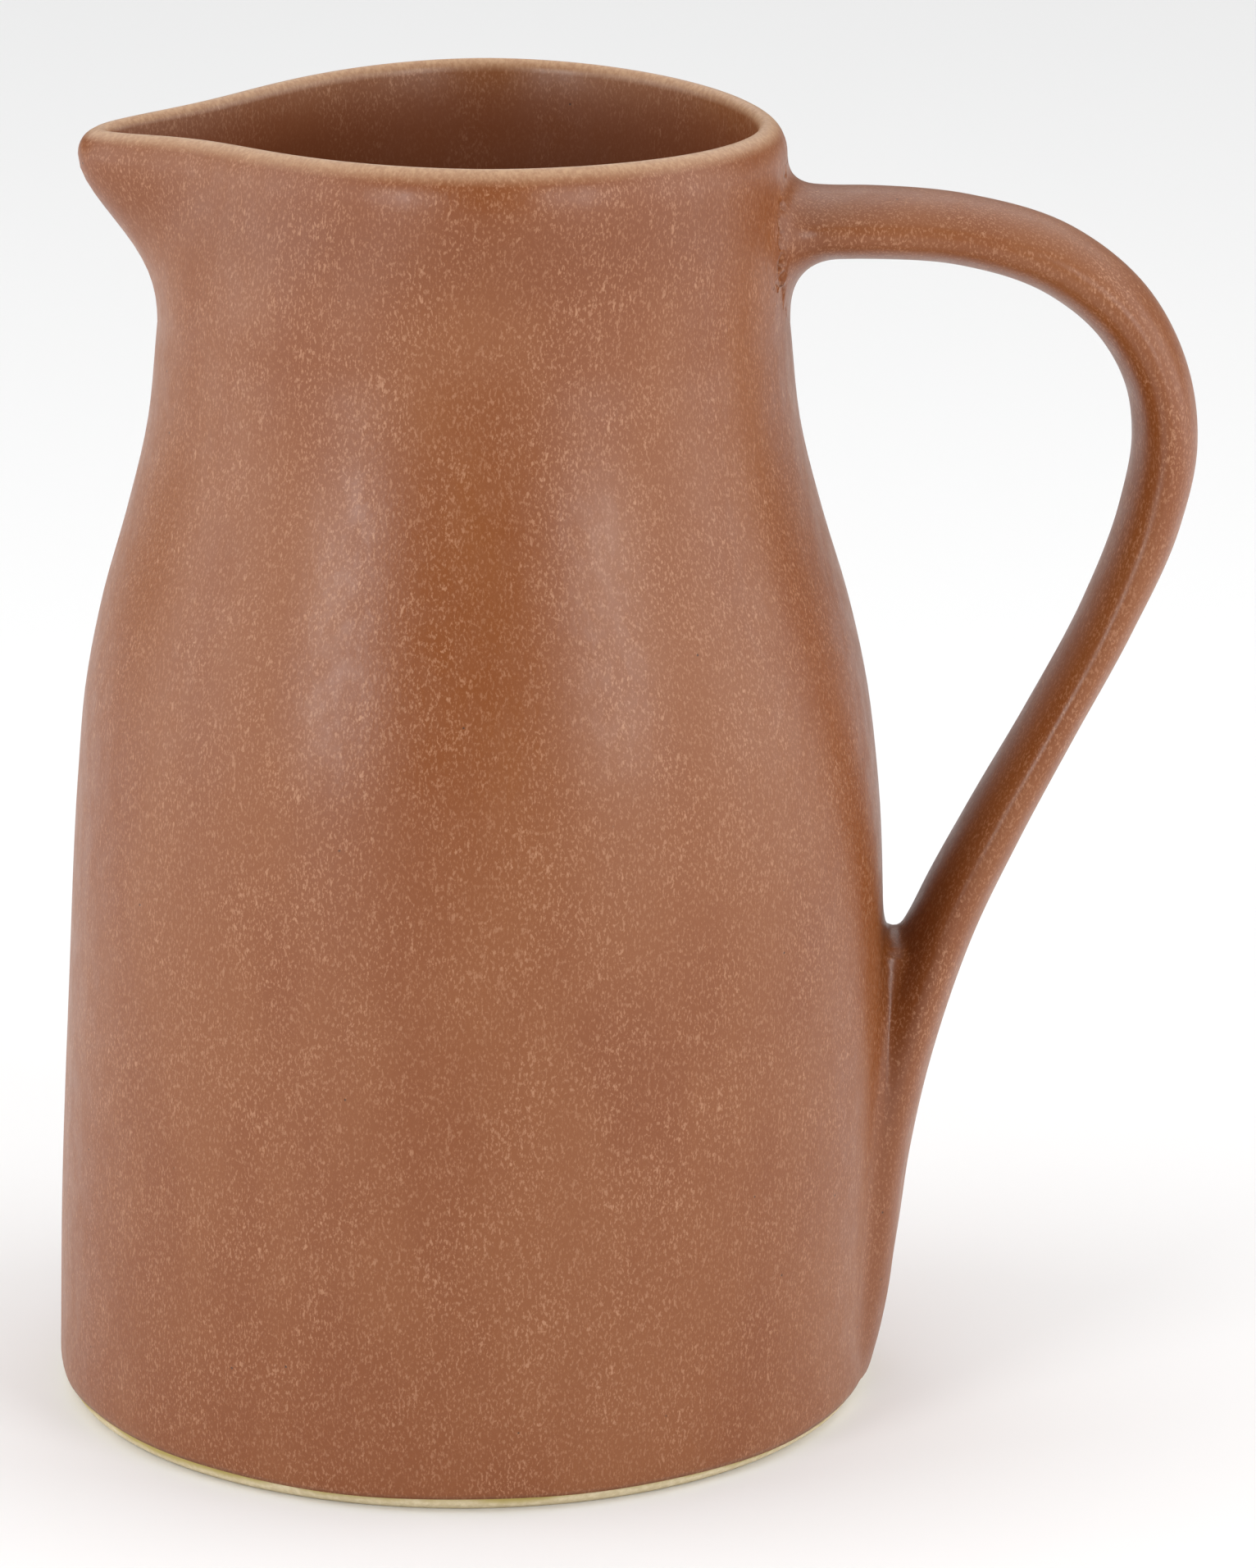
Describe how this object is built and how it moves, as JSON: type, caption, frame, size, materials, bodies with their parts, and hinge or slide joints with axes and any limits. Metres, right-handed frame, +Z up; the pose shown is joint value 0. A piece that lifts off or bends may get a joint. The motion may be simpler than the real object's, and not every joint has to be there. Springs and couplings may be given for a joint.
{
  "type": "pitcher",
  "caption": "Tall stoneware pitcher with a pulled spout, a strap handle luted to the neck and wall, and a satin terracotta glaze that stops above an unglazed foot.",
  "frame": {"origin": "centre of the foot, on the surface it stands on", "axes": "+Z up, -X towards the spout, +X towards the handle, +Y across"},
  "size_m": [0.1747, 0.127, 0.1997],
  "materials": {
    "bare_clay": "dry unglazed stoneware, cream",
    "terracotta_glaze": "satin speckled terracotta glaze"
  },
  "bodies": {
    "root": {"clay_body": "bare_clay", "handle": "bare_clay", "upper_joint": "bare_clay", "lower_joint": "bare_clay", "outer_glaze": "terracotta_glaze", "liner_glaze": "terracotta_glaze", "handle_glaze": "terracotta_glaze"}
  },
  "joints": []
}
